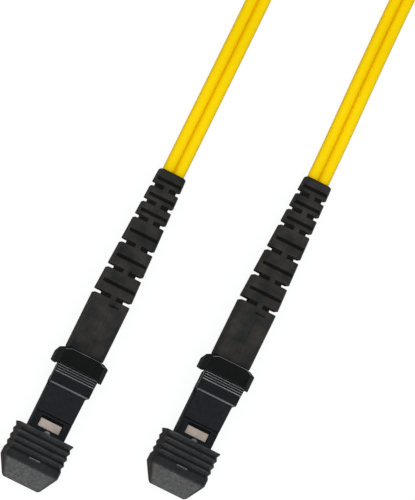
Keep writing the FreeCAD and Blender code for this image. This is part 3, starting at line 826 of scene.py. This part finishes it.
def lever_finish(face, low, high):
    """Painted highlights on the pad's steps and broken left edges, and dull on treads and step feet."""
    middle = face.calc_center_median()
    if face.normal.z < UPWARD or middle.y < low.y + PAD_FROM_ROOT:
        return "plug_plastic"
    if face.normal.x < -SIDEWARD:
        return "painted_highlight_plastic"
    if face.normal.y > -SIDEWARD:
        on_ridges = high.z - middle.z < TREAD_DROPS * RIDGE_STEP
        return "collar_plastic" if on_ridges else "plug_plastic"
    step = highlighted_step(high.z, middle.z)
    if step is None or middle.x < low.x + PAD_FLANK:
        return "collar_plastic"
    return "painted_riser_highlight_plastic" if step == RISER else "painted_highlight_plastic"


def cap_finish(face, low, high):
    """Painted highlights on the tongue behind the ribs, on the lip before them and on the ribs' crests."""
    if face.normal.z <= UPWARD:
        return "cap_plastic"
    middle = face.calc_center_median()
    on_tongue = middle.y > high.y - TONGUE_REACH
    along_lip = LIP_FROM_TIP[0] < middle.y - low.y < LIP_FROM_TIP[1]
    across_lip = abs(middle.x - (low.x + high.x) / 2) < LIP_HALF_WIDTH
    on_lip = along_lip and across_lip and face.normal.y < -FORWARD
    if on_tongue or on_lip:
        return "painted_highlight_plastic"
    behind_lip = middle.y > low.y + LIP_FROM_TIP[1]
    reach = [vertex.co.y for vertex in face.verts]
    narrow = max(reach) - min(reach) < CREST_WIDTH
    on_crest = behind_lip and narrow and middle.z > high.z - CREST_DEPTH
    return "painted_crest_highlight_plastic" if on_crest else "cap_plastic"


def collar_finish(face, low, high):
    """A painted highlight on the broken edge at the back of the guard."""
    on_back_edge = face.normal.z > UPWARD and face.normal.y > SIDEWARD
    return "painted_highlight_plastic" if on_back_edge else "collar_plastic"


def boot_finish(face, low, high):
    """Painted shade on the slots' walls and floors, which are square to an axis and inside the boot's
    outline.
    """
    middle = face.calc_center_median()
    for axis in range(3):
        inside = min(middle[axis] - low[axis], high[axis] - middle[axis]) > SLOT_INSIDE
        if inside and abs(face.normal[axis]) > SQUARE:
            return "painted_slot_shade_rubber"
    return "boot_rubber"


DIVIDED = {"latch_lever": divide_lever, "dust_cap": divide_cap}
FINISH_BY_FACE = {
    "dust_cap": cap_finish,
    "latch_lever": lever_finish,
    "rear_collar": collar_finish,
    "boot": boot_finish,
}


def round_wedge(mesh, low):
    """The edge between the cap's sloped front and its flat band, rounded above and below."""
    front = [
        edge for edge in mesh.edges
        if all(abs(vertex.co.y - low.y - WEDGE_EDGE) < WEDGE_EDGE_NEAR for vertex in edge.verts)
        and min(abs(face.normal.z) for face in edge.link_faces) > UPWARD
    ]
    bevel_edges(mesh, front, WEDGE_ROUND, WEDGE_SEGMENTS)


def shown_plug(suffix):
    """The plug's outer pieces with broken edges and a finish for each face."""
    for stem, finishes, slot, body, ease in OUTER_PIECES:
        node = stem + "_" + suffix
        low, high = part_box(node)
        mesh = merged_copy(node)
        if stem == "dust_cap":
            round_wedge(mesh, low)
        ease_edges(mesh, ease)
        if stem in DIVIDED:
            DIVIDED[stem](mesh, low, high)
        mesh.normal_update()
        if stem in FINISH_BY_FACE:
            for face in mesh.faces:
                face.material_index = finishes.index(FINISH_BY_FACE[stem](face, low, high))
        piece = add_piece("shown_" + node, mesh, finishes, body.format(suffix))
        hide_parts(node)


def shown_spring(suffix):
    """The ferrule's spring, as a piece with a mesh of its own; the real spring shortens towards its rear end
    as the ferrule is pushed in.
    """
    node = "ferrule_spring_" + suffix
    piece = add_piece("shown_" + node, merged_copy(node), ["spring_steel"], "cord")
    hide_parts(node)
    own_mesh(piece)


def dress_inner_pieces(suffix):
    """One finish on each of the plug's inner pieces."""
    for stem, finish in INNER_PIECES.items():
        data = nodes[stem + "_" + suffix].data
        data.materials.clear()
        data.materials.append(FINISHES[finish])


for suffix in PLUGS:
    shown_plug(suffix)
    shown_spring(suffix)
    dress_inner_pieces(suffix)


# Floor and light

FLOOR_REACH = 20
FLOOR_COLOUR = (0.8, 0.8, 0.8, 1)
FLOOR_SHADED = (0.12, 0.12, 0.12, 1)
FLOOR_GLOW = 0.9
SKY_COLOUR = (0.88, 0.98, 1.1)
LOW_SKY_COLOUR = (1.0, 1.0, 1.0)
SKY_RISE = (0.0, 0.5)
SKY_LOW_SHARE = 0.3
SKY_FADE = (-0.9, 0.7)
SKY_FRONT = 1.0
SKY_BACK = 0.1
OVERHEAD_PLACE = (-0.05, 0.05, 0.9)
OVERHEAD_TILT = 0
OVERHEAD_SIZE = (0.7, 0.7)
OVERHEAD_POWER = 5.3
FRONT_PLACE = (0.02, -0.45, 0.04)
FRONT_TILT = math.pi / 2
FRONT_SIZE = (0.5, 0.08)
FRONT_POWER = 1.12


def seen_ray(tree):
    """One for camera, glossy and transmission rays."""
    path = tree.nodes.new("ShaderNodeLightPath")
    first = math_node(tree, "MAXIMUM", path.outputs["Is Camera Ray"], path.outputs["Is Glossy Ray"])
    return math_node(tree, "MAXIMUM", first, path.outputs["Is Transmission Ray"])


def floor_material():
    """Pale to the light that it throws back, and seen as white with the object's soft shadow."""
    material, tree, shader = new_material("pale_floor")
    tree.nodes.remove(shader)
    plain = tree.nodes.new("ShaderNodeBsdfDiffuse")
    plain.inputs["Color"].default_value = FLOOR_COLOUR
    shaded = tree.nodes.new("ShaderNodeBsdfDiffuse")
    shaded.inputs["Color"].default_value = FLOOR_SHADED
    glow = tree.nodes.new("ShaderNodeEmission")
    glow.inputs["Strength"].default_value = FLOOR_GLOW
    seen = tree.nodes.new("ShaderNodeAddShader")
    tree.links.new(shaded.outputs["BSDF"], seen.inputs[0])
    tree.links.new(glow.outputs["Emission"], seen.inputs[1])
    mix = tree.nodes.new("ShaderNodeMixShader")
    tree.links.new(seen_ray(tree), mix.inputs["Fac"])
    tree.links.new(plain.outputs["BSDF"], mix.inputs[1])
    tree.links.new(seen.outputs["Shader"], mix.inputs[2])
    tree.links.new(mix.outputs["Shader"], tree.nodes["Material Output"].inputs["Surface"])
    return material


def add_floor():
    """A flat floor that reaches far past the picture."""
    mesh = bmesh.new()
    bmesh.ops.create_grid(mesh, x_segments=1, y_segments=1, size=FLOOR_REACH)
    data = bpy.data.meshes.new("floor")
    mesh.to_mesh(data)
    mesh.free()
    data.materials.append(floor_material())
    floor = bpy.data.objects.new("floor", data)
    bpy.context.scene.collection.objects.link(floor)


def add_world():
    """A cool sky that dims to the back and low down."""
    world = bpy.data.worlds.new("studio")
    bpy.context.scene.world = world
    world.use_nodes = True
    tree = world.node_tree
    background = tree.nodes["Background"]
    parts = split(tree, tree.nodes.new("ShaderNodeTexCoord").outputs["Generated"])
    height = ramp(tree, parts["Z"], SKY_RISE, (SKY_LOW_SHARE, 1))
    depth = ramp(tree, parts["Y"], SKY_FADE, (SKY_FRONT, SKY_BACK))
    tree.links.new(mix_colour(tree, height, LOW_SKY_COLOUR, SKY_COLOUR), background.inputs["Color"])
    tree.links.new(math_node(tree, "MULTIPLY", height, depth), background.inputs["Strength"])


def add_softbox(name, place, tilt, size, power, in_gloss):
    """A flat lamp, tilted up from facing the floor, that the gloss shows or not."""
    lamp = bpy.data.lights.new(name, "AREA")
    lamp.shape = "RECTANGLE"
    lamp.size, lamp.size_y = size
    lamp.energy = power
    box = bpy.data.objects.new(name, lamp)
    box.matrix_world = Matrix.Translation(place) @ Matrix.Rotation(tilt, 4, "X")
    box.visible_camera = False
    box.visible_glossy = in_gloss
    bpy.context.scene.collection.objects.link(box)


add_floor()
add_world()
add_softbox("overhead_softbox", OVERHEAD_PLACE, OVERHEAD_TILT, OVERHEAD_SIZE, OVERHEAD_POWER, in_gloss=False)
add_softbox("front_strip", FRONT_PLACE, FRONT_TILT, FRONT_SIZE, FRONT_POWER, in_gloss=True)
bpy.context.scene.view_settings.view_transform = "Standard"
